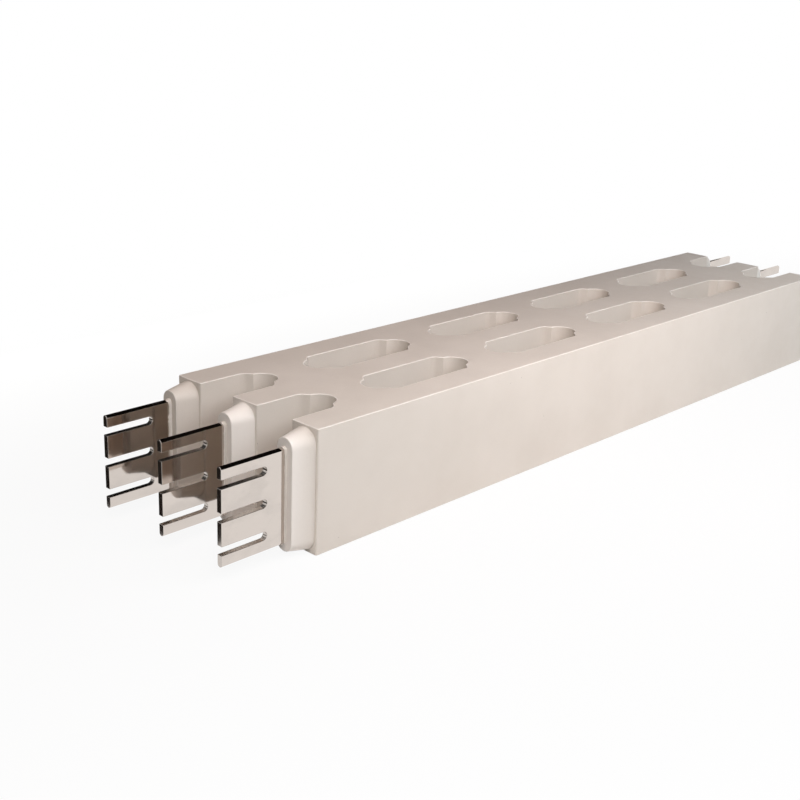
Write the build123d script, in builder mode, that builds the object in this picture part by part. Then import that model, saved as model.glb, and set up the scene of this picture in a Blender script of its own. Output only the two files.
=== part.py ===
from build123d import *
from build123d.topology import SkipClean
from math import isclose
import os

# Cast-resin busway section: three flat conductors, on edge and side by side, cast into one resin block.
# X runs along the section, Y across the phases and Z up. The origin is the middle of the underside.

# Conductors, rolled with fully round edges
phases = ["front", "middle", "rear"]
bar_height = 125.0
bar_thickness = 8.0

# Bolt slots, open at the ends of the conductors
bolt_slot_count = 3
bolt_slot_edge = 21.0  # from an edge of the bar to the middle of the outer slot
bolt_slot_width = 11.0
bolt_slot_depth = 68.0
prong_corner_chamfer = 0.8
contact_land = 20.0  # from the roots of the slots to the end of the contact face
contact_setback = 10.0  # from there to the resin

# Resin block: a leg round each conductor, joined by bridges between the air slots
cover_sides = 19.5  # resin over the broad faces of a conductor
cover_edges = 20.0  # resin over its upper and lower edges
bridge_length = 61.0  # along X, between the tips of neighbouring air slots
casting_edge_chamfer = 1.0

# Air slots, in rows between the legs, with half a slot open at each end of a row
air_slot_count = 4  # closed slots in a row
air_slot_length = 194.0  # from tip to tip
air_slot_width = 65.0  # from leg to leg
air_slot_nose = 18.0  # from the points of resin beside the nose to the tip
air_slot_nose_width = 41.0  # between those points
air_slot_bevel = 9.5  # along X, from the straight sides to the points
air_slot_corner_radius = 2.0
air_slot_point_radius = 2.0

# Tapered noses, where the conductors leave the legs
nose_setback_sides = 3.5  # from the sides of the leg
nose_setback_edges = 2.5  # from the top and the underside of the leg
nose_length = 32.0
nose_draft = 11.3  # degrees
nose_edge_chamfer = 1.0

# Worked out from the sizes above
bolt_slot_pitch = (bar_height - 2 * bolt_slot_edge) / (bolt_slot_count - 1)
contact_length = bolt_slot_depth + contact_land
leg_width = bar_thickness + 2 * cover_sides
phase_pitch = leg_width + air_slot_width
phase_offsets = [(i - (len(phases) - 1) / 2) * phase_pitch for i in range(len(phases))]
air_slot_pitch = air_slot_length + bridge_length
air_slot_point = air_slot_length / 2 - air_slot_nose
casting_height = bar_height + 2 * cover_edges
casting_length = (air_slot_count + 1) * air_slot_pitch
casting_width = (len(phases) - 1) * phase_pitch + leg_width
bar_level = casting_height / 2
bar_projection = nose_length + contact_setback + contact_length
bar_length = casting_length + 2 * bar_projection

# The end faces of the casting, seen from outside
end_faces = [
    Plane(origin=(way * casting_length / 2, 0, bar_level), x_dir=(0, 1, 0), z_dir=(way, 0, 0))
    for way in (-1, 1)
]

# Plan of an air slot: straight sides, bevelled corners and a narrower round nose at each end
with BuildSketch() as air_slot:
    with BuildLine():
        side = Line((0, air_slot_width / 2), (air_slot_point - air_slot_bevel, air_slot_width / 2))
        bevel = Line(side @ 1, (air_slot_point, air_slot_nose_width / 2))
        TangentArc((air_slot_length / 2, 0), bevel @ 1, tangent=(0, 1))
        mirror(about=Plane.XZ)
        mirror(about=Plane.YZ)
    make_face()
    corners = air_slot.vertices().filter_by(lambda vertex: isclose(abs(vertex.X), (side @ 1).X))
    points = air_slot.vertices().filter_by(lambda vertex: isclose(abs(vertex.X), air_slot_point))
    fillet(corners, air_slot_corner_radius)
    fillet(points, air_slot_point_radius)

# Section of a conductor, and the places of all of them, which the resin fits
with BuildSketch() as bar_section:
    SlotOverall(bar_height, bar_thickness, rotation=90)
with BuildSketch(Plane.YZ) as bar_sections:
    with Locations(*[(y, bar_level) for y in phase_offsets]):
        add(bar_section.sketch)

with BuildPart() as resin_casting:
    # The block in plan, with its rows of air slots
    with BuildSketch() as plan:
        Rectangle(casting_length, casting_width)
        with GridLocations(air_slot_pitch, phase_pitch, air_slot_count + 2, len(phases) - 1):
            add(air_slot.sketch, mode=Mode.SUBTRACT)
        leg_corners = plan.vertices().filter_by(
            lambda vertex: isclose(abs(vertex.X), casting_length / 2)
        )
        chamfer(leg_corners, casting_edge_chamfer)
    extrude(amount=casting_height)
    rims = resin_casting.edges().group_by(Axis.Z)
    chamfer(rims[0] + rims[-1], casting_edge_chamfer)

    # A tapered nose on the end of each leg
    with BuildSketch(*end_faces):
        with Locations(*[(y, 0) for y in phase_offsets]):
            SlotOverall(
                casting_height - 2 * nose_setback_edges,
                leg_width - 2 * nose_setback_sides,
                rotation=90,
            )
    extrude(amount=nose_length, taper=nose_draft)
    nose_tips = resin_casting.edges().filter_by(
        lambda edge: isclose(abs(edge.center().X), casting_length / 2 + nose_length, abs_tol=1e-4)
    )
    chamfer(nose_tips, nose_edge_chamfer)

    # The room that the conductors fill
    extrude(bar_sections.sketch, amount=bar_length / 2, both=True, mode=Mode.SUBTRACT)

# The forked contact end of a conductor, about the middle of the section
with BuildPart() as fork:
    with BuildSketch(Plane.YZ.offset(bar_length / 2)):
        add(bar_section.sketch)
    extrude(amount=-contact_length)
    with BuildSketch(Plane.XZ):
        with Locations((bar_length / 2, 0)):
            with GridLocations(0, bolt_slot_pitch, 1, bolt_slot_count):
                SlotOverall(2 * bolt_slot_depth, bolt_slot_width)
    extrude(amount=bar_thickness / 2, both=True, mode=Mode.SUBTRACT)
    prong_corners = fork.edges().filter_by(Axis.Y).group_by(Axis.X)[-1]
    chamfer(prong_corners, prong_corner_chamfer)

os.makedirs("parts", exist_ok=True)
resin_casting.part.label = "resin_casting"
export_step(resin_casting.part, "parts/resin_casting.step")

for phase, section in zip(phases, bar_sections.sketch.faces().sort_by(Axis.Y)):
    with BuildPart() as conductor:
        # A flat bar through the casting, with a seam where each contact face begins
        extrude(section, amount=bar_length / 2 - contact_length, both=True)
        with SkipClean(), Locations(section.center()):
            add(fork.part)
            add(mirror(fork.part, about=Plane.YZ, mode=Mode.PRIVATE))
    conductor.part.label = f"conductor_{phase}"
    export_step(conductor.part, f"parts/conductor_{phase}.step")
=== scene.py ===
"""A cast-resin busway section in a studio: a slotted resin block with three bright-plated conductors."""

import logging
import math
from dataclasses import dataclass
from enum import Enum

import bmesh
import bpy
from mathutils import Matrix, Vector
from mathutils import noise as lattice
from mathutils.geometry import tessellate_polygon


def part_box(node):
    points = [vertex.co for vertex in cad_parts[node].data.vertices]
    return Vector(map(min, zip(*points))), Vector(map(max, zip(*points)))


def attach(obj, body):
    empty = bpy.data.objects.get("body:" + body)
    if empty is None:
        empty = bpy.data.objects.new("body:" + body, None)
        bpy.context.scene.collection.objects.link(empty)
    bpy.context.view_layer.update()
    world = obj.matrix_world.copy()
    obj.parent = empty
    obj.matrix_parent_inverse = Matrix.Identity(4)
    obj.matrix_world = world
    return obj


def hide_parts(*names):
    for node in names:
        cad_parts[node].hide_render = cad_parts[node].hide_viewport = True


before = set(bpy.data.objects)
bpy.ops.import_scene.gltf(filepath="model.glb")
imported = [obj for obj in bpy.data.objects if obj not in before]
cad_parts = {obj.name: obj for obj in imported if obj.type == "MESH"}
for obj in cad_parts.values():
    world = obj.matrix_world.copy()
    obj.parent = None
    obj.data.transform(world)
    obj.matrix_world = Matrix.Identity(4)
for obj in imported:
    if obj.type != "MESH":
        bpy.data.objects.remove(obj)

LOG = logging.getLogger("busway_section")
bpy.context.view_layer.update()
BODY = "root"
SMOOTH_BELOW = math.radians(40)
WHITE = (1.0, 1.0, 1.0, 1.0)

Point = tuple[float, float]
Loop = list[Point]
Colour = tuple[float, float, float]
Place = tuple[float, float, float]
Ring = list[bmesh.types.BMVert]
Socket = bpy.types.NodeSocket
Inputs = dict[str | int, object]


class Phase(Enum):
    """The conductors, from the front of the section to its rear."""

    FRONT = "front"
    MIDDLE = "middle"
    REAR = "rear"


class End(Enum):
    """The two ends of the section, by the side of the origin that they are on."""

    NEAR = -1
    FAR = 1


class Finish(Enum):
    """The record's material slots."""

    RESIN = "cast_resin"
    PLATING = "plated_copper"


class Join(Enum):
    """What a Boolean does with its second mesh."""

    ADD = "UNION"
    CUT = "DIFFERENCE"


class Mask(Enum):
    """Attributes of the meshes that the finishes read: cut belongs to faces, the others to points; the
    highlight mask marks rounded edges that get a painted highlight.
    """

    RIM_HIGHLIGHT = "rim"
    FLASH = "flash"
    CUT = "cut"


class Reckoning(Enum):
    """What a shader works out from two values."""

    TIMES = "MULTIPLY"
    MINUS = "SUBTRACT"
    LARGER_OF = "MAXIMUM"
    IS_BELOW = "LESS_THAN"


class Result(Enum):
    """What a node tree ends in."""

    MATERIAL = "ShaderNodeOutputMaterial"
    WORLD = "ShaderNodeOutputWorld"


def arc(centre: Point | Vector, radius: float, start: float, end: float, steps: int) -> Loop:
    """Points along an arc.

    Args:
        centre: Middle of the arc.
        radius: Radius in metres.
        start: Angle of the first point, in degrees.
        end: Angle of the last point, in degrees; more than start turns anticlockwise.
        steps: Number of equal steps.

    Returns:
        The points, with both ends.
    """
    angles = [math.radians(start + (end - start) * step / steps) for step in range(steps + 1)]
    return [(centre[0] + radius * math.cos(a), centre[1] + radius * math.sin(a)) for a in angles]


def quarter_round(radius: float, steps: int) -> list[Point]:
    """Depth from the side and height from the flat face of points round an edge, from that face on."""
    angles = [math.radians(90 * step / steps) for step in range(steps + 1)]
    return [(radius * (1 - math.sin(a)), radius * (1 - math.cos(a))) for a in angles]


def turned(path: Loop) -> Loop:
    """The path turned by half a turn about the origin."""
    return [(-x, -y) for x, y in path]


def shifted(path: Loop, offset: Point) -> Loop:
    """The path moved by an offset."""
    return [(x + offset[0], y + offset[1]) for x, y in path]


def inset(outline: Loop, distance: float) -> Loop:
    """Moves a closed outline towards the material on its left.

    Args:
        outline: Points in order, with no two alike.
        distance: How far each side moves, in metres.

    Returns:
        As many points as the outline has.
    """
    points = [Vector(point) for point in outline]
    moved = []
    for before, here, after in zip(points[-1:] + points[:-1], points, points[1:] + points[:1]):
        arriving = (here - before).normalized()
        leaving = (after - here).normalized()
        left = Vector((-arriving.y - leaving.y, arriving.x + leaving.x))
        moved.append(here + left * distance / (1 + arriving.dot(leaving)))
    return [(point.x, point.y) for point in moved]


def skin(body: bmesh.types.BMesh, rings: list[Ring]) -> None:
    """Joins rings of vertices, each to the next, with rows of faces.

    Args:
        body: The mesh that has the vertices.
        rings: Rings with the same number of vertices each.
    """
    for below, above in zip(rings, rings[1:]):
        for i in range(len(below)):
            body.faces.new((below[i - 1], below[i], above[i], above[i - 1]))


def loft(body: bmesh.types.BMesh, rings: list[list[Vector]]) -> list[Ring]:
    """Joins rings of points into a closed skin with flat ends.

    Args:
        body: The mesh that takes the skin.
        rings: Rings with the same number of points each.

    Returns:
        The new vertices, ring by ring.
    """
    made = [[body.verts.new(point) for point in ring] for ring in rings]
    skin(body, made)
    body.faces.new(made[0])
    body.faces.new(made[-1])
    return made


def rounded_plate(
    name: str, outlines: list[Loop], thickness: float, edge: float, steps: int, band: float
) -> bpy.types.Mesh:
    """A flat plate with holes and rounded edges, upwards from the plane of its outlines.

    Args:
        name: Name of the mesh.
        outlines: The outside and then the holes, each with the material on its left.
        thickness: Thickness along Z, in metres.
        edge: Radius of the edges, in metres.
        steps: Steps in the round of an edge.
        band: Width on the flat faces over which the painted highlight mask fades, in metres.

    Returns:
        A closed mesh whose rounds are marked in the mask of painted highlights.
    """
    lower = [(edge + band, 0.0), *quarter_round(edge, steps)]
    levels = lower + [(depth, thickness - height) for depth, height in reversed(lower)]
    plain = (0, steps + 1, steps + 2, len(levels) - 1)
    body = bmesh.new()
    rim = body.verts.layers.float.new(Mask.RIM_HIGHLIGHT.value)
    caps: dict[int, list[Ring]] = {0: [], len(levels) - 1: []}
    for outline in outlines:
        rings = []
        for number, (depth, height) in enumerate(levels):
            ring = [body.verts.new((x, y, height)) for x, y in inset(outline, depth)]
            # Rounded edges are marked for a painted highlight.
            for vertex in ring:
                vertex[rim] = 0.0 if number in plain else 1.0
            rings.append(ring)
            if number in caps:
                caps[number].append(ring)
        skin(body, rings)
    for rings in caps.values():
        flat = [vertex for ring in rings for vertex in ring]
        for triangle in tessellate_polygon([[vertex.co for vertex in ring] for ring in rings]):
            body.faces.new([flat[i] for i in triangle])
    return mesh_from(body, name)


def mesh_from(body: bmesh.types.BMesh, name: str) -> bpy.types.Mesh:
    """Turns an edit mesh into a mesh with outward faces, and frees it.

    Args:
        body: The edit mesh.
        name: Name of the new mesh.

    Returns:
        The new mesh.
    """
    bmesh.ops.recalc_face_normals(body, faces=body.faces)
    mesh = bpy.data.meshes.new(name)
    body.to_mesh(mesh)
    body.free()
    return mesh


def linked(name: str, data: bpy.types.ID) -> bpy.types.Object:
    """Makes an object and puts it into the scene.

    Args:
        name: Name of the object.
        data: The mesh, light or camera that it shows.

    Returns:
        The new object.
    """
    made = bpy.data.objects.new(name, data)
    bpy.context.scene.collection.objects.link(made)
    return made


def combine(base: bpy.types.Object, other: bpy.types.Object, join: Join) -> None:
    """Joins a second closed mesh to the first as one skin or cuts it away, and removes the second.

    Args:
        base: The object that keeps the result.
        other: The object that is added or cut away.
        join: Which of the two is done.
    """
    change = base.modifiers.new("combine", "BOOLEAN")
    change.operation = join.value
    change.solver = "EXACT"
    change.object = other
    evaluated = base.evaluated_get(bpy.context.evaluated_depsgraph_get())
    whole = bpy.data.meshes.new_from_object(evaluated)
    base.modifiers.clear()
    base.data = whole
    bpy.data.objects.remove(other)


def finish_piece(piece: bpy.types.Object, node: str, material: bpy.types.Material) -> None:
    """Shades a piece, gives it its material and lets it stand for its CAD node.

    Args:
        piece: The finished mesh object.
        node: The CAD node that it replaces.
        material: The material of the whole piece.
    """
    piece.data.materials.clear()
    piece.data.materials.append(material)
    piece.data.shade_smooth()
    piece.data.set_sharp_from_angle(angle=SMOOTH_BELOW)
    shading = piece.modifiers.new("flat faces stay flat", "WEIGHTED_NORMAL")
    shading.keep_sharp = True
    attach(piece, BODY)
    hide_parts(node)


class ShaderTree:
    """A node tree with short calls to add nodes and join them."""

    FINENESS = 0.55
    DOT_CORE = 0.4

    def __init__(self, tree: bpy.types.NodeTree) -> None:
        """Empties the tree for new nodes."""
        self.tree = tree
        self.tree.nodes.clear()

    def add(self, kind: str, sockets: Inputs | None = None, **settings: object) -> bpy.types.Node:
        """Adds a node.

        Args:
            kind: Blender's name for the node's type.
            sockets: Values or output sockets for the node's inputs, by name or number.
            **settings: Values for the node's own properties.

        Returns:
            The new node.
        """
        node = self.tree.nodes.new(kind)
        for name, value in settings.items():
            setattr(node, name, value)
        for key, value in (sockets or {}).items():
            if isinstance(value, Socket):
                self.tree.links.new(value, node.inputs[key])
            else:
                node.inputs[key].default_value = value
        return node

    def show(self, shader: bpy.types.Node, result: Result = Result.MATERIAL) -> None:
        """Makes a shader the result of the tree."""
        self.add(result.value, {"Surface": shader.outputs[0]})

    def place(self, scale: Place = (1, 1, 1)) -> Socket:
        """The place on the object in metres, stretched by a scale."""
        spot = self.add("ShaderNodeTexCoord").outputs["Object"]
        return self.add("ShaderNodeMapping", {"Vector": spot, "Scale": scale}).outputs["Vector"]

    def cloud(self, scale: float, detail: float, stretch: Place = (1, 1, 1)) -> Socket:
        """Soft noise from 0 to 1.

        Args:
            scale: Lumps in a metre.
            detail: Octaves of finer noise.
            stretch: Scale of the place along each axis.

        Returns:
            The noise as a value.
        """
        spot = self.place(stretch)
        sockets = {"Vector": spot, "Scale": scale, "Detail": detail, "Roughness": self.FINENESS}
        return self.add("ShaderNodeTexNoise", sockets).outputs["Fac"]

    def dots(self, scale: float, size: float) -> Socket:
        """Scattered round dots.

        Args:
            scale: Dots in a metre.
            size: Radius of a dot as a share of the space between dots.

        Returns:
            1 in the middle of a dot and 0 outside.
        """
        spots = self.add("ShaderNodeTexVoronoi", {"Vector": self.place(), "Scale": scale})
        return self.ramp(spots.outputs["Distance"], size, size * self.DOT_CORE)

    def ramp(self, value: Socket, low: float, high: float, start: float = 0.0, end: float = 1.0) -> Socket:
        """Maps the range from low to high smoothly to the range from start to end, and stops there."""
        sockets = {0: value, 1: low, 2: high, 3: start, 4: end}
        return self.add("ShaderNodeMapRange", sockets, interpolation_type="SMOOTHSTEP").outputs[0]

    def reckon(self, first: Socket | float, how: Reckoning, second: Socket | float) -> Socket:
        """Works out one value from two."""
        return self.add("ShaderNodeMath", {0: first, 1: second}, operation=how.value).outputs[0]

    def times(self, first: Socket, second: Socket | float) -> Socket:
        """The product of two values."""
        return self.reckon(first, Reckoning.TIMES, second)

    def mix(self, share: Socket, first: Socket | Colour, second: Socket | Colour) -> Socket:
        """Mixes two colours.

        Args:
            share: How much of the second colour shows, from 0 to 1.
            first: The first colour.
            second: The second colour.

        Returns:
            The mixed colour.
        """
        ends = [(*c, 1.0) if isinstance(c, tuple) else c for c in (first, second)]
        node = self.add("ShaderNodeMix", {0: share, 6: ends[0], 7: ends[1]}, data_type="RGBA")
        return node.outputs[2]

    def mask(self, name: Mask) -> Socket:
        """An attribute of the mesh as a value."""
        return self.add("ShaderNodeAttribute", attribute_name=name.value).outputs["Fac"]

    def bump(self, height: Socket, depth: float, under: Socket | None = None) -> Socket:
        """A bump, on its own or on top of another one.

        Args:
            height: Height of the surface, from 0 to 1.
            depth: What a height of 1 stands for, in metres.
            under: The bump below it.

        Returns:
            The bumped normal.
        """
        sockets: Inputs = {"Height": height, "Distance": depth, "Strength": 1.0}
        if under is not None:
            sockets["Normal"] = under
        return self.add("ShaderNodeBump", sockets).outputs["Normal"]


def new_material(name: str) -> tuple[bpy.types.Material, ShaderTree]:
    """Makes a material.

    Args:
        name: Name of the material.

    Returns:
        The material and its empty node tree.
    """
    made = bpy.data.materials.new(name)
    made.use_nodes = True
    return made, ShaderTree(made.node_tree)


@dataclass(frozen=True)
class CastResin:
    """Cream mineral-filled resin as it leaves the mould: satin, faintly cloudy, with a few pinholes.

    A scale is a number of lumps or dots in a metre, a depth is in metres, and the other numbers are shares.
    """

    cream: Colour = (0.68, 0.623, 0.555)
    pale: Colour = (0.72, 0.663, 0.595)
    # Dark colour for the resin's random grain tone, and for painted shade on the flash film.
    dark_grain_and_shade: Colour = (0.40, 0.34, 0.28)
    # Painted highlight colour for the rounded edges.
    painted_highlight_colour: Colour = (0.86, 0.81, 0.75)
    # Painted shade for the inside of pinholes and pits.
    hole_painted_shade: Colour = (0.20, 0.165, 0.13)
    roughness: Point = (0.40, 0.56)
    refraction: float = 1.5
    contrast: Point = (0.3, 0.7)
    cloud_scale: float = 7
    satin_scale: float = 45
    ripple_scale: float = 130
    ripple_depth: float = 0.00012
    grain_scale: float = 1100
    grain_contrast: Point = (0.35, 0.75)
    grain_share: float = 0.10
    grain_depth: float = 0.00003
    pinhole_scale: float = 70
    pinhole_size: float = 0.05
    pinhole_patch_scale: float = 16
    pinhole_patches: Point = (0.60, 0.66)
    pit_scale: float = 420
    pit_size: float = 0.30
    pit_patch_scale: float = 150
    pit_patches: Point = (0.45, 0.55)
    hole_depth: float = 0.0006
    hole_shade_share: float = 0.8
    painted_highlight_share: float = 0.9
    flash_painted_shade_share: float = 0.18

    def material(self) -> bpy.types.Material:
        """Builds the material.

        Returns:
            A material that reads the painted highlight and flash masks of the casting, with a painted
            highlight on rounded edges and painted shade on the film and in the holes.
        """
        made, tree = new_material("cast_resin")
        clouds = tree.ramp(tree.cloud(self.cloud_scale, detail=3), *self.contrast)
        grain = tree.cloud(self.grain_scale, detail=2)
        flash = tree.mask(Mask.FLASH)
        few = tree.ramp(tree.cloud(self.pinhole_patch_scale, detail=1), *self.pinhole_patches)
        pinholes = tree.times(tree.dots(self.pinhole_scale, self.pinhole_size), few)
        pits = tree.dots(self.pit_scale, self.pit_size)
        some = tree.ramp(tree.cloud(self.pit_patch_scale, detail=1), *self.pit_patches)
        pits = tree.times(pits, tree.times(flash, some))
        holes = tree.reckon(pinholes, Reckoning.LARGER_OF, pits)
        colour = tree.mix(clouds, self.cream, self.pale)
        colour = tree.mix(tree.ramp(grain, *self.grain_contrast, end=self.grain_share), colour, self.dark_grain_and_shade)
        # Painted highlight: rounded edges are made lighter in colour, standing in for the light they catch.
        colour = tree.mix(tree.times(tree.mask(Mask.RIM_HIGHLIGHT), self.painted_highlight_share), colour, self.painted_highlight_colour)
        # Painted shade: the flash film on the bars is made darker than the resin around it.
        colour = tree.mix(tree.times(flash, self.flash_painted_shade_share), colour, self.dark_grain_and_shade)
        # Painted shade: pinholes and pits are coloured dark, as shade in the holes, on top of their bump.
        colour = tree.mix(tree.times(holes, self.hole_shade_share), colour, self.hole_painted_shade)
        normal = tree.bump(tree.cloud(self.ripple_scale, detail=2), self.ripple_depth)
        normal = tree.bump(grain, self.grain_depth, normal)
        solid = tree.reckon(1.0, Reckoning.MINUS, holes)
        normal = tree.bump(solid, self.hole_depth, normal)
        rough = tree.ramp(tree.cloud(self.satin_scale, detail=3), *self.contrast, *self.roughness)
        shader = tree.add(
            "ShaderNodeBsdfPrincipled",
            {"Base Color": colour, "Roughness": rough, "Normal": normal, "IOR": self.refraction},
        )
        tree.show(shader)
        return made


@dataclass(frozen=True)
class BrightPlating:
    """Bright tin plating on rolled copper bar: a mirror with faint rolling lines and handling haze.

    A scale is a number of lumps in a metre, a stretch multiplies it along an axis, and depths are in metres.
    """

    bright: Colour = (0.69, 0.625, 0.575)
    hazy: Colour = (0.64, 0.58, 0.535)
    cut: Colour = (0.57, 0.52, 0.48)
    roughness: Point = (0.045, 0.10)
    cut_roughness: float = 0.20
    haze_scale: float = 22
    haze_stretch: Place = (1, 1, 1.6)
    haze_contrast: Point = (0.42, 0.72)
    line_stretch: Place = (4, 40, 1300)
    line_depth: float = 0.000004
    wave_scale: float = 9
    wave_depth: float = 0.00025

    def material(self) -> bpy.types.Material:
        """Builds the material.

        Returns:
            A metal whose cut edges are duller than its rolled faces.
        """
        made, tree = new_material("bright_plating")
        haze = tree.ramp(tree.cloud(self.haze_scale, 4, self.haze_stretch), *self.haze_contrast)
        lines = tree.cloud(1, 3, self.line_stretch)
        milled = tree.mask(Mask.CUT)
        colour = tree.mix(haze, self.bright, self.hazy)
        colour = tree.mix(milled, colour, self.cut)
        polish = tree.ramp(haze, 0.0, 1.0, *self.roughness)
        sockets = {0: milled, 2: polish, 3: self.cut_roughness}
        rough = tree.add("ShaderNodeMix", sockets, data_type="FLOAT").outputs[0]
        normal = tree.bump(tree.cloud(self.wave_scale, detail=1), self.wave_depth)
        normal = tree.bump(lines, self.line_depth, normal)
        shader = tree.add(
            "ShaderNodeBsdfPrincipled",
            {"Base Color": colour, "Metallic": 1.0, "Roughness": rough, "Normal": normal},
        )
        tree.show(shader)
        return made


@dataclass
class AirSlot:
    """Plan of an air slot: straight sides, bevelled corners and a narrower round nose at each end."""

    length: float = 0.194
    width: float = 0.065
    nose: float = 0.018
    nose_width: float = 0.041
    bevel: float = 0.0090
    corner_radius: float = 0.0125
    point_radius: float = 0.0022
    nose_steps: int = 14
    round_steps: int = 8

    def half(self) -> Loop:
        """Half a slot, in through one side and out through the other.

        Returns:
            The path from the lower side to the tip at -X and back along the upper side, with resin on
            its left.
        """
        point = Vector((self.length / 2 - self.nose, self.nose_width / 2))
        corner = Vector((point.x - self.bevel, self.width / 2))
        slant = (point - corner).normalized()
        resin = Vector((-slant.y, slant.x))
        turn = -self._bearing(slant)
        nose_middle = point.x + (self.nose**2 - point.y**2) / (2 * self.nose)
        nose_centre = Vector((nose_middle, 0))
        nose_radius = self.length / 2 - nose_middle
        apart = corner + resin * self.point_radius - nose_centre
        along = apart.dot(slant)
        touching = (nose_radius + self.point_radius) ** 2 - apart.length_squared + along**2
        point_centre = nose_centre + apart - slant * (along + math.sqrt(touching))
        corner_centre = corner - Vector((math.tan(math.radians(turn) / 2), 1)) * self.corner_radius
        nose_start = self._bearing(point_centre - nose_centre)
        path = [(0.0, self.width / 2)]
        path += arc(corner_centre, self.corner_radius, 90, 90 - turn, self.round_steps)
        path += arc(point_centre, self.point_radius, 270 - turn, nose_start + 180, self.round_steps)
        path += arc(nose_centre, nose_radius, nose_start, 0, self.nose_steps)[1:]
        lower = turned(path)
        return lower + [(x, -y) for x, y in reversed(lower[:-1])]

    def closed(self) -> Loop:
        """The whole slot as a hole, with resin on its left."""
        half = self.half()
        return half[:-1] + turned(half)[:-1]

    @staticmethod
    def _bearing(way: Vector) -> float:
        """Angle of a direction in degrees."""
        return math.degrees(math.atan2(way.y, way.x))


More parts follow.
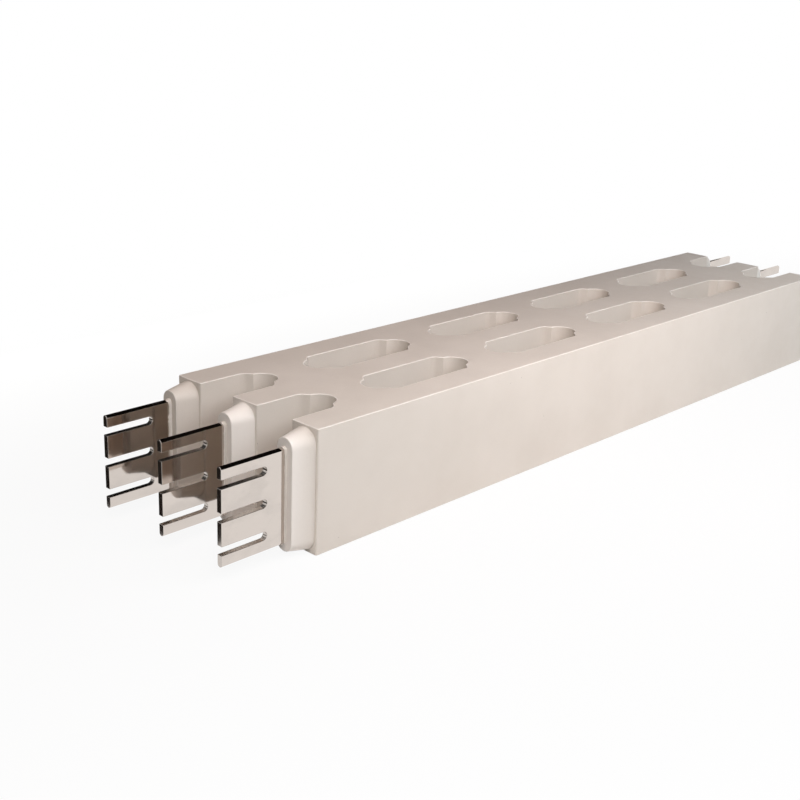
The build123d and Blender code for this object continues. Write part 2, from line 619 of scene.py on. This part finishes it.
@dataclass
class Nose:
    """The tapered nose that a conductor leaves the casting through, with a ragged resin film on the bar.

    The film's profile gives the thickness and the reach of each of its rings, as shares of the whole. Its
    waves and specks are noise: a scale sets how close together they are, and a growth is the even part and
    the wavy part of what raggedness adds.
    """

    half_width: float
    half_height: float
    bar_half_width: float
    bar_half_height: float
    length: float
    draft: float = 11.3
    edge_radius: float = 0.0010
    edge_steps: int = 4
    root_depth: float = 0.001
    corner_points: int = 12
    side_points: int = 46
    top_points: int = 3
    roundness: float = 0.985
    film_length: float = 0.0040
    film_thickness: float = 0.0009
    film_profile: tuple[Point, ...] = (
        (0.45, 0.0), (0.45, 0.05), (0.95, 0.13), (1.0, 0.40), (0.9, 0.75), (0.65, 0.96), (-0.3, 1.0),
    )
    edge_thinning: float = 0.45
    scale_across: float = 60.0
    scale_between_noses: float = 40.0
    slow_wave_scale: float = 2.2
    quick_wave_scale: float = 7.0
    quick_wave_share: float = 0.6
    speck_scale: float = 17.0
    speck_spread: float = 9.0
    speck_height: float = 0.25
    lump_reach: float = 0.0035
    lump_least: float = 0.4
    thickness_growth: Point = (0.3, 0.7)
    thickness_lump: float = 0.6
    reach_least: float = 0.75
    reach_growth: Point = (0.45, 0.45)
    reach_lump: float = 0.4

    def ring(self, half_width: float, half_height: float, radius: float) -> Loop:
        """A rounded rectangle about the bar, always with the same number of points.

        Args:
            half_width: Half the size across the bar.
            half_height: Half the size up the bar.
            radius: Radius of the corners.

        Returns:
            Points anticlockwise from the lower right corner.
        """
        x, y = half_width - radius, half_height - radius
        corners = [(x, -y), (x, y), (-x, y), (-x, -y)]
        runs = [self.side_points, self.top_points] * 2
        made: Loop = []
        for number, (corner, run) in enumerate(zip(corners, runs)):
            round_corner = arc(corner, radius, 90 * number - 90, 90 * number, self.corner_points)
            start = Vector(round_corner[-1])
            turn = arc(corners[(number + 1) % 4], radius, 90 * number, 90 * number, 1)
            step = (Vector(turn[0]) - start) / (run + 1)
            made += round_corner
            made += [tuple(start + step * (i + 1)) for i in range(run)]
        return made

    def profile(self) -> list[Point]:
        """The tapered part, from inside the leg to the flat tip.

        Returns:
            How far each ring is drawn in, and how far out it lies.
        """
        draft = math.radians(self.draft)
        slope = math.tan(draft)
        turn = math.pi / 2 - draft
        reach = self.edge_radius * math.tan(turn / 2)
        start = self.length - reach * math.cos(draft)
        middle = start * slope + self.edge_radius * math.cos(draft)
        angles = [draft + turn * step / self.edge_steps for step in range(self.edge_steps + 1)]
        rings = [(0.0, -self.root_depth), (0.0, 0.0)]
        centre = self.length - self.edge_radius
        for a in angles:
            rings.append((middle - self.edge_radius * math.cos(a), centre + self.edge_radius * math.sin(a)))
        return rings

    def add_to(self, body: bmesh.types.BMesh, place: Vector, end: End, raggedness: float) -> None:
        """Adds the nose to a mesh.

        Args:
            body: The mesh that takes it.
            place: Where the middle of the bar crosses the end face of its leg.
            end: The end of the section that the nose is on.
            raggedness: How uneven the film is, from 0 for an even one to about 1.
        """
        rim = body.verts.layers.float[Mask.RIM_HIGHLIGHT.value]
        flash = body.verts.layers.float[Mask.FLASH.value]
        profile = self.profile()
        rings = []
        for drawn_in, out in profile:
            half_width = self.half_width - drawn_in
            outline = self.ring(half_width, self.half_height - drawn_in, half_width * self.roundness)
            rings.append([(y, z, out) for y, z in outline])
        rings += self.film(place, raggedness)
        points = [[place + Vector((out * end.value, y, z)) for y, z, out in ring] for ring in rings]
        made = loft(body, points)
        # The round of the tip edge is marked for a painted highlight.
        for number, ring in enumerate(made):
            for vertex in ring:
                vertex[rim] = 1.0 if 2 < number < len(profile) - 1 else 0.0
                vertex[flash] = 1.0 if number > len(profile) else 0.0

    def film(self, place: Vector, raggedness: float) -> list[list[Place]]:
        """Rings of the film that creeps along the bar from the tip of the nose.

        Args:
            place: Where the nose is, which sets its own unevenness.
            raggedness: How uneven the film is, from 0 for an even one to about 1.

        Returns:
            Rings of points across, up and out.
        """
        radius = self.bar_half_width * self.roundness
        unit = self.film_thickness
        bare = self.ring(self.bar_half_width, self.bar_half_height, radius)
        grown = self.ring(self.bar_half_width + unit, self.bar_half_height + unit, radius + unit)
        lumpy = self.lump_least + (1 - self.lump_least) * raggedness
        rings = []
        for swell, share in self.film_profile:
            ring = []
            for (y, z), (outer_y, outer_z) in zip(bare, grown):
                across = Vector((y * self.scale_across, z * self.scale_across, 0))
                spot = across + place * self.scale_between_noses
                wave = lattice.noise(spot * self.slow_wave_scale)
                wave += self.quick_wave_share * lattice.noise(spot * self.quick_wave_scale)
                lump = self.lump(y, z) * lumpy
                even, wavy = self.thickness_growth
                thick = 1 + raggedness * (even + wavy * wave) + self.thickness_lump * lump
                thick *= 1.0 if abs(z) < self.bar_half_height - radius else self.edge_thinning
                even, wavy = self.reach_growth
                reach = self.reach_least + raggedness * (even + wavy * wave) + self.reach_lump * lump
                speck = lattice.noise(spot * self.speck_scale + Vector((0, 0, share * self.speck_spread)))
                layers = thick * (swell + self.speck_height * raggedness * speck)
                out = self.length + self.film_length * reach * share
                ring.append((y + (outer_y - y) * layers, z + (outer_z - z) * layers, out))
            rings.append(ring)
        return rings

    def lump(self, y: float, z: float) -> float:
        """A blob of resin on the upper edge of the bar, from 0 to 1."""
        away = Vector((y + self.bar_half_width / 2, z - self.bar_half_height))
        return math.exp(-(away.length / self.lump_reach) ** 2)


@dataclass
class ResinCasting:
    """The resin block: a leg round each conductor, bridges between air slots, and a nose on each leg end."""

    slot: AirSlot
    node: str = "resin_casting"
    nose_length: float = 0.032
    nose_setback_sides: float = 0.0035
    nose_setback_edges: float = 0.0025
    edge_radius: float = 0.0010
    edge_steps: int = 4
    highlight_band: float = 0.0010
    corner_radius: float = 0.0022
    corner_steps: int = 4
    bridge_length: float = 0.061

    def __post_init__(self) -> None:
        """Reads the casting's and the conductors' places from the frame."""
        self.low, self.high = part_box(self.node)
        self.bars = {phase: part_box(f"conductor_{phase.value}") for phase in Phase}
        self.centres = {phase: (low + high) / 2 for phase, (low, high) in self.bars.items()}
        self.half_length = self.high.x - self.nose_length
        self.leg_half_width = self.high.y - self.centres[Phase.REAR].y
        self.rows = [
            (self.centres[a].y + self.centres[b].y) / 2
            for a, b in ((Phase.FRONT, Phase.MIDDLE), (Phase.MIDDLE, Phase.REAR))
        ]

    def build(self) -> bpy.types.Object:
        """Makes the block and its noses as one skin.

        Returns:
            The casting, with its masks, not yet dressed.
        """
        name = "cast_block"
        height = self.high.z - self.low.z
        plate = rounded_plate(name, self.plan(), height, self.edge_radius, self.edge_steps, self.highlight_band)
        block = linked(name, plate)
        block.data.transform(Matrix.Translation((0, 0, self.low.z)))
        noses = linked("noses", self.noses())
        combine(block, noses, Join.ADD)
        return block

    def dress(self, block: bpy.types.Object, resin: bpy.types.Material) -> None:
        """Gives the casting its material and its place in the frame."""
        finish_piece(block, self.node, resin)

    def plan(self) -> list[Loop]:
        """Outlines of the block: its outside with half slots open at the ends, and the closed slots.

        Returns:
            The outside first, each outline with the resin on its left.
        """
        pitch = self.slot.length + self.bridge_length
        columns = round(2 * self.half_length / pitch)
        closed = [(i + 1) * pitch - self.half_length for i in range(columns - 1)]
        holes = [shifted(self.slot.closed(), (x, y)) for x in closed for y in self.rows]
        end = self.end_outline()
        return [end + turned(end), *holes]

    def end_outline(self) -> Loop:
        """The far end of the block in plan.

        Returns:
            The path from its front side to its rear side, with the resin on its left.
        """
        x, r = self.half_length, self.corner_radius
        path: Loop = []
        for number, phase in enumerate(Phase):
            front = self.centres[phase].y - self.leg_half_width
            rear = self.centres[phase].y + self.leg_half_width
            path += arc((x - r, front + r), r, -90, 0, self.corner_steps)
            path += arc((x - r, rear - r), r, 0, 90, self.corner_steps)
            if number < len(self.rows):
                path += shifted(self.slot.half(), (x, self.rows[number]))[1:-1]
        return path

    def noses(self) -> bpy.types.Mesh:
        """All the noses in one mesh.

        Returns:
            Closed skins that reach a little into the legs.
        """
        raggedness = {Phase.FRONT: 0.3, Phase.MIDDLE: 0.8, Phase.REAR: 1.1}
        bar_low, bar_high = self.bars[Phase.MIDDLE]
        bar = (bar_high - bar_low) / 2
        nose = Nose(
            half_width=self.leg_half_width - self.nose_setback_sides,
            half_height=(self.high.z - self.low.z) / 2 - self.nose_setback_edges,
            bar_half_width=bar.y,
            bar_half_height=bar.z,
            length=self.nose_length,
        )
        body = bmesh.new()
        body.verts.layers.float.new(Mask.RIM_HIGHLIGHT.value)
        body.verts.layers.float.new(Mask.FLASH.value)
        for end in End:
            for phase in Phase:
                centre = self.centres[phase]
                place = Vector((end.value * self.half_length, centre.y, centre.z))
                nose.add_to(body, place, end, raggedness[phase])
        return mesh_from(body, "noses")


@dataclass
class Conductor:
    """A flat plated bar on edge with round long edges, whose ends are forks with three open bolt slots."""

    phase: Phase
    slot_count: int = 3
    slot_edge: float = 0.021
    slot_width: float = 0.011
    slot_depth: float = 0.068
    end_round: float = 0.0005
    slot_round: float = 0.0005
    mouth_round: float = 0.0008
    round_steps: int = 3
    root_steps: int = 24
    edge_points: int = 16
    overshoot: float = 0.002

    @property
    def node(self) -> str:
        """Name of the CAD node."""
        return f"conductor_{self.phase.value}"

    def build(self) -> bpy.types.Object:
        """Makes the bar where its CAD node lies.

        Returns:
            The bar, not yet dressed.
        """
        low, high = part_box(self.node)
        half = (high - low) / 2
        bar = linked(f"plated_{self.node}", self.bar(half))
        combine(bar, linked("bolt_slots", self.slots(half)), Join.CUT)
        bar.data.transform(Matrix.Translation((low + high) / 2))
        return bar

    def dress(self, bar: bpy.types.Object, plating: bpy.types.Material) -> None:
        """Gives the bar its material and its place in the frame."""
        finish_piece(bar, self.node, plating)

    def bar(self, half: Vector) -> bpy.types.Mesh:
        """The bar about the origin, before its bolt slots are cut.

        Args:
            half: Half its length, thickness and height.

        Returns:
            A closed skin.
        """
        straight = half.z - half.y
        rings = []
        for drawn_in, short in quarter_round(self.end_round, self.round_steps):
            upper = arc((0, straight), half.y - drawn_in, 0, 180, self.edge_points)
            rings.append([(half.x - short, y, z) for y, z in upper + turned(upper)])
        rings += [[(-x, y, z) for x, y, z in ring] for ring in reversed(rings)]
        body = bmesh.new()
        cut = body.faces.layers.float.new(Mask.CUT.value)
        loft(body, [[Vector(point) for point in ring] for ring in rings])
        for face in body.faces:
            inner_side = min(abs(vertex.co.x) for vertex in face.verts)
            face[cut] = 1.0 if inner_side > half.x - self.end_round else 0.0
        return mesh_from(body, "bar")

    def slots(self, half: Vector) -> bpy.types.Mesh:
        """The bolt slots of both ends as solids to cut away.

        Args:
            half: Half the bar's length, thickness and height.

        Returns:
            Closed skins that flare a little at the faces of the bar, so that the slots have rounded edges.
        """
        pitch = 2 * (half.z - self.slot_edge) / (self.slot_count - 1)
        edge = quarter_round(self.slot_round, self.round_steps)
        flare = [(self.slot_round, half.y + self.overshoot)]
        flare += [(depth, half.y - height) for depth, height in edge]
        levels = [(depth, -height) for depth, height in flare] + flare[::-1]
        body = bmesh.new()
        for number in range(self.slot_count):
            middle = self.slot_edge - half.z + pitch * number
            outline = shifted(self.slot(half.x), (0, middle))
            for end in (End.FAR, End.NEAR):
                rings = []
                for grown, y in levels:
                    rings.append([Vector((x * end.value, y, z)) for x, z in inset(outline, -grown)])
                loft(body, rings)
        cut = body.faces.layers.float.new(Mask.CUT.value)
        for face in body.faces:
            face[cut] = 1.0
        return mesh_from(body, "bolt_slots")

    def slot(self, mouth: float) -> Loop:
        """Outline of a bolt slot in side view, about its middle line.

        Args:
            mouth: Where the bar ends.

        Returns:
            A closed anticlockwise path that reaches past the end of the bar.
        """
        half, r = self.slot_width / 2, self.mouth_round
        root = arc((mouth - self.slot_depth + half, 0), half, 90, 270, self.root_steps)
        lip = arc((mouth - r, -half - r), r, 90, 0, self.round_steps)
        past = mouth + self.overshoot
        lower = [*lip, (past, -half - r)]
        return root + lower + [(x, -z) for x, z in reversed(lower)]


@dataclass(frozen=True)
class Softbox:
    """A soft lamp that the metal doesn't mirror."""

    name: str
    centre: Place
    aim: Place
    width: float
    height: float
    power: float
    colour: Colour

    def place(self) -> None:
        """Puts the lamp into the scene."""
        light = bpy.data.lights.new(self.name, "AREA")
        light.shape = "RECTANGLE"
        light.size = self.width
        light.size_y = self.height
        light.energy = self.power
        light.color = self.colour
        lamp = linked(self.name, light)
        lamp.location = self.centre
        lamp.rotation_euler = (Vector(self.aim) - lamp.location).to_track_quat("-Z", "Y").to_euler()
        lamp.visible_glossy = False


@dataclass(frozen=True)
class BlackCloth:
    """A black cloth that only the bright metal mirrors."""

    name: str
    centre: Place
    facing: Place
    size: Point


@dataclass
class Studio:
    """White floor and surroundings, soft lamps in front and behind, and cloths for the metal to mirror."""

    floor_size: float = 60.0
    floor_colour: Colour = (0.78, 0.77, 0.76)
    floor_glow: Point = (0.92, 1.0)
    glow_reach: Point = (0.8, 1.9)
    glow_shape: Place = (1.0, 2.0, 1.0)
    ambient: Colour = (0.02, 0.015, 0.012)
    cloth_colour: Colour = (0.03, 0.026, 0.023)
    first_bounce: float = 0.5

    def build(self) -> None:
        """Makes the surroundings, the floor, the cloths and the lamps."""
        self.surroundings()
        self.sheet("floor", (self.floor_size, self.floor_size), self.floor_material())
        black = self.cloth_material()
        for cloth in self.cloths():
            self.hang(cloth, black)
        for lamp in self.lamps():
            lamp.place()

    @staticmethod
    def cloths() -> list[BlackCloth]:
        """The cloths beyond the far end, behind the section, and on the floor beside the near end.

        Returns:
            The cloths, not yet hung.
        """
        return [
            BlackCloth("cloth_beyond", centre=(1.0, -0.1, 1.75), facing=(-1.0, 0.0, 0.0), size=(5.4, 2.9)),
            BlackCloth("cloth_behind", centre=(-1.0, 2.6, 1.75), facing=(0.0, -1.0, 0.0), size=(4.0, 2.9)),
            BlackCloth("cloth_below", centre=(-1.4, 0.98, 0.002), facing=(0.0, 0.0, 1.0), size=(1.22, 2.03)),
        ]

    @staticmethod
    def lamps() -> list[Softbox]:
        """A long strip in front, smaller lamps on the side of the near end, and a low strip behind.

        Returns:
            The lamps, not yet placed.
        """
        return [
            Softbox(
                "strip_lamp", centre=(0.3, -0.6, 0.60), aim=(0.3, 0.0, 0.10),
                width=3.0, height=0.35, power=10.32, colour=(0.873, 0.944, 1.0),
            ),
            Softbox(
                "side_lamp", centre=(-0.1, -0.6, 0.60), aim=(0.4, 0.0, 0.15),
                width=0.6, height=0.35, power=1.43, colour=(1.0, 0.893, 0.873),
            ),
            Softbox(
                "corner_lamp", centre=(-1.2, -0.5, 1.20), aim=(0.3, 0.0, 0.15),
                width=0.8, height=0.8, power=8.42, colour=(1.0, 0.922, 0.890),
            ),
            Softbox(
                "high_lamp", centre=(-0.35, -0.5, 1.10), aim=(0.2, 0.0, 0.12),
                width=1.2, height=0.35, power=2.92, colour=(1.0, 0.658, 0.584),
            ),
            Softbox(
                "back_lamp", centre=(0.3, 0.85, 0.09), aim=(0.3, 0.13, 0.09),
                width=2.4, height=0.14, power=7.0, colour=(1.0, 0.96, 0.93),
            ),
        ]

    def hang(self, cloth: BlackCloth, black: bpy.types.Material) -> None:
        """Puts up a cloth that neither the camera nor soft light meets.

        Args:
            cloth: The cloth.
            black: Its material.
        """
        made = self.sheet(cloth.name, cloth.size, black)
        made.location = cloth.centre
        made.rotation_euler = Vector(cloth.facing).to_track_quat("Z", "Y").to_euler()
        made.visible_camera = False
        made.visible_diffuse = False
        made.visible_shadow = False

    def sheet(self, name: str, size: Point, material: bpy.types.Material) -> bpy.types.Object:
        """A flat rectangle that belongs to the stage.

        Args:
            name: Name of the object.
            size: Width and height in metres.
            material: Its material.

        Returns:
            The object, lying at the origin.
        """
        body = bmesh.new()
        bmesh.ops.create_grid(body, x_segments=1, y_segments=1, size=0.5)
        made = linked(name, mesh_from(body, name))
        made.data.transform(Matrix.Diagonal((*size, 1, 1)))
        made.data.materials.append(material)
        return made

    def seen_directly(self, tree: ShaderTree) -> Socket:
        """Tells what is looked at from what lights things.

        Args:
            tree: The node tree that asks.

        Returns:
            1 for what the camera, a mirror or glass sees, and 0 for light that falls on things, also where
            a mirror passes it on.
        """
        path = tree.add("ShaderNodeLightPath").outputs
        seen = tree.reckon(path["Is Camera Ray"], Reckoning.LARGER_OF, path["Is Glossy Ray"])
        seen = tree.reckon(seen, Reckoning.LARGER_OF, path["Is Transmission Ray"])
        straight = tree.reckon(path["Diffuse Depth"], Reckoning.IS_BELOW, self.first_bounce)
        return tree.times(seen, straight)

    def floor_material(self) -> bpy.types.Material:
        """A pale floor that looks white and keeps a soft shadow.

        Returns:
            A material that is a little less white near the section than farther away.
        """
        made, tree = new_material("studio_floor")
        paint = tree.add("ShaderNodeBsdfDiffuse", {"Color": (*self.floor_colour, 1.0)})
        glow = tree.add("ShaderNodeEmission", {"Color": WHITE, "Strength": 1.0})
        away = tree.add("ShaderNodeVectorMath", {0: tree.place(self.glow_shape)}, operation="LENGTH")
        glowing = tree.ramp(away.outputs["Value"], *self.glow_reach, *self.floor_glow)
        share = tree.times(self.seen_directly(tree), glowing)
        tree.show(tree.add("ShaderNodeMixShader", {0: share, 1: paint.outputs[0], 2: glow.outputs[0]}))
        return made

    def cloth_material(self) -> bpy.types.Material:
        """Black cloth.

        Returns:
            A dull material.
        """
        made, tree = new_material("black_cloth")
        tree.show(tree.add("ShaderNodeBsdfDiffuse", {"Color": (*self.cloth_colour, 1.0)}))
        return made

    def surroundings(self) -> None:
        """A white world to look at, which lights the object only a little."""
        world = bpy.data.worlds.new("studio")
        world.use_nodes = True
        bpy.context.scene.world = world
        tree = ShaderTree(world.node_tree)
        dim = tree.add("ShaderNodeBackground", {"Color": (*self.ambient, 1.0), "Strength": 1.0})
        white = tree.add("ShaderNodeBackground", {"Color": WHITE, "Strength": 1.0})
        share = self.seen_directly(tree)
        both = tree.add("ShaderNodeMixShader", {0: share, 1: dim.outputs[0], 2: white.outputs[0]})
        tree.show(both, Result.WORLD)


@dataclass
class ProductCamera:
    """The camera, above the near end of the section and in front of it."""

    place: Place = (-1.57056, -1.12804, 0.67185)
    yaw: float = 47.2073
    pitch: float = 18.9267
    roll: float = -2.3452
    lens: float = 55.44
    sensor: float = 36.0

    def build(self) -> None:
        """Makes the camera and looks through it."""
        yaw, pitch, roll = (math.radians(angle) for angle in (self.yaw, self.pitch, self.roll))
        ahead = Vector((math.sin(yaw) * math.cos(pitch), math.cos(yaw) * math.cos(pitch), -math.sin(pitch)))
        right = Vector((math.cos(yaw), -math.sin(yaw), 0))
        down = ahead.cross(right)
        tilted_right = right * math.cos(roll) + down * math.sin(roll)
        tilted_down = down * math.cos(roll) - right * math.sin(roll)
        data = bpy.data.cameras.new("product_camera")
        data.lens = self.lens
        data.sensor_width = self.sensor
        camera = linked("product_camera", data)
        turn = Matrix((tilted_right, -tilted_down, -ahead)).transposed()
        camera.matrix_world = Matrix.Translation(self.place) @ turn.to_4x4()
        bpy.context.scene.camera = camera


def main() -> None:
    """Builds the casting, the conductors, the studio and the camera in order, and reports each piece."""
    logging.basicConfig(level=logging.INFO)
    bpy.context.scene.view_settings.view_transform = "Standard"
    casting = ResinCasting(AirSlot())
    block = casting.build()
    casting.dress(block, CastResin().material())
    LOG.info("%s stands for %s with %d faces", block.name, casting.node, len(block.data.polygons))
    plating = BrightPlating().material()
    for phase in Phase:
        conductor = Conductor(phase)
        bar = conductor.build()
        conductor.dress(bar, plating)
        LOG.info("%s stands for %s with %d faces", bar.name, conductor.node, len(bar.data.polygons))
    Studio().build()
    ProductCamera().build()


if __name__ == "__main__":
    main()
